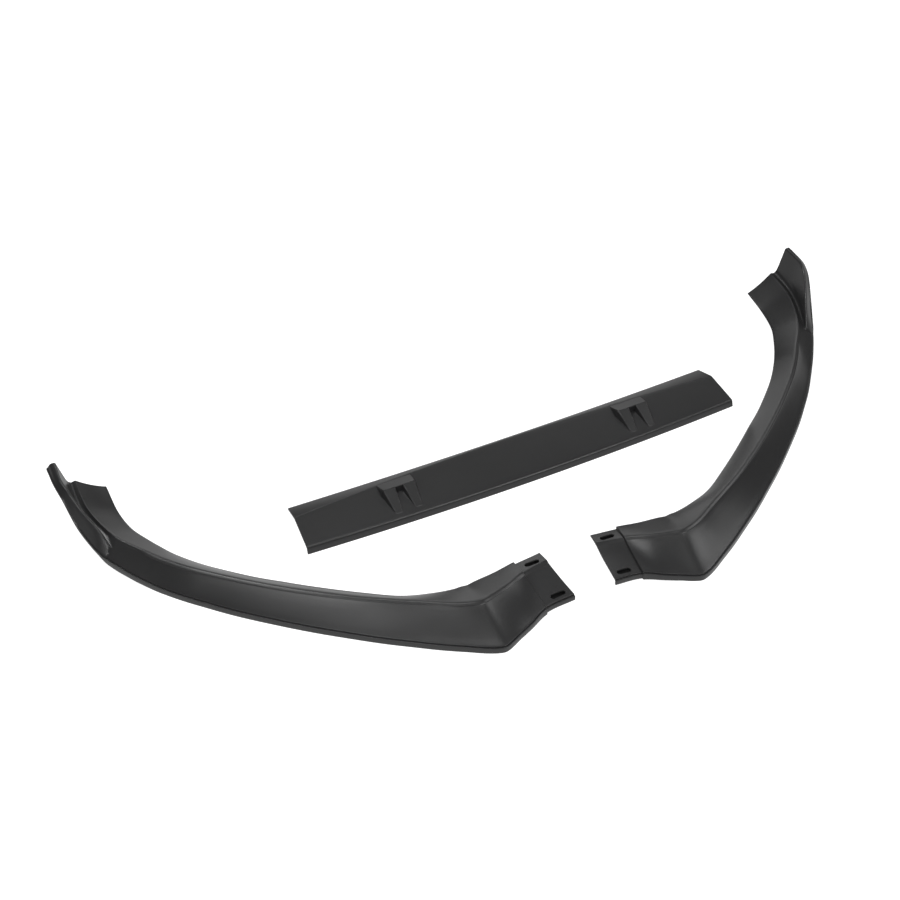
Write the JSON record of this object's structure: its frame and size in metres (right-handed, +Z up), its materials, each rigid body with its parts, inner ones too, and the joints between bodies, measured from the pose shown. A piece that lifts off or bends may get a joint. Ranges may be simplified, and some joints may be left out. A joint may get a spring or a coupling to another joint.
{
  "type": "front splitter lip set",
  "caption": "Front bumper splitter lip in satin black plastic: curved corner lips with an upturned rear fin and slotted tongues, and a straight centre lip with ribbed tabs.",
  "frame": {"origin": "middle of the set's floor outline, on the plane of the front edges' feet", "axes": "+X to the right seen from the front, +Y backwards, +Z up"},
  "size_m": [1.246, 0.5015, 0.0995],
  "materials": {
    "corner_plastic": "satin",
    "centre_plastic": "satin"
  },
  "bodies": {
    "root": {"left_corner_lip": "corner_plastic", "right_corner_lip": "corner_plastic", "centre_lip": "centre_plastic"}
  },
  "joints": []
}
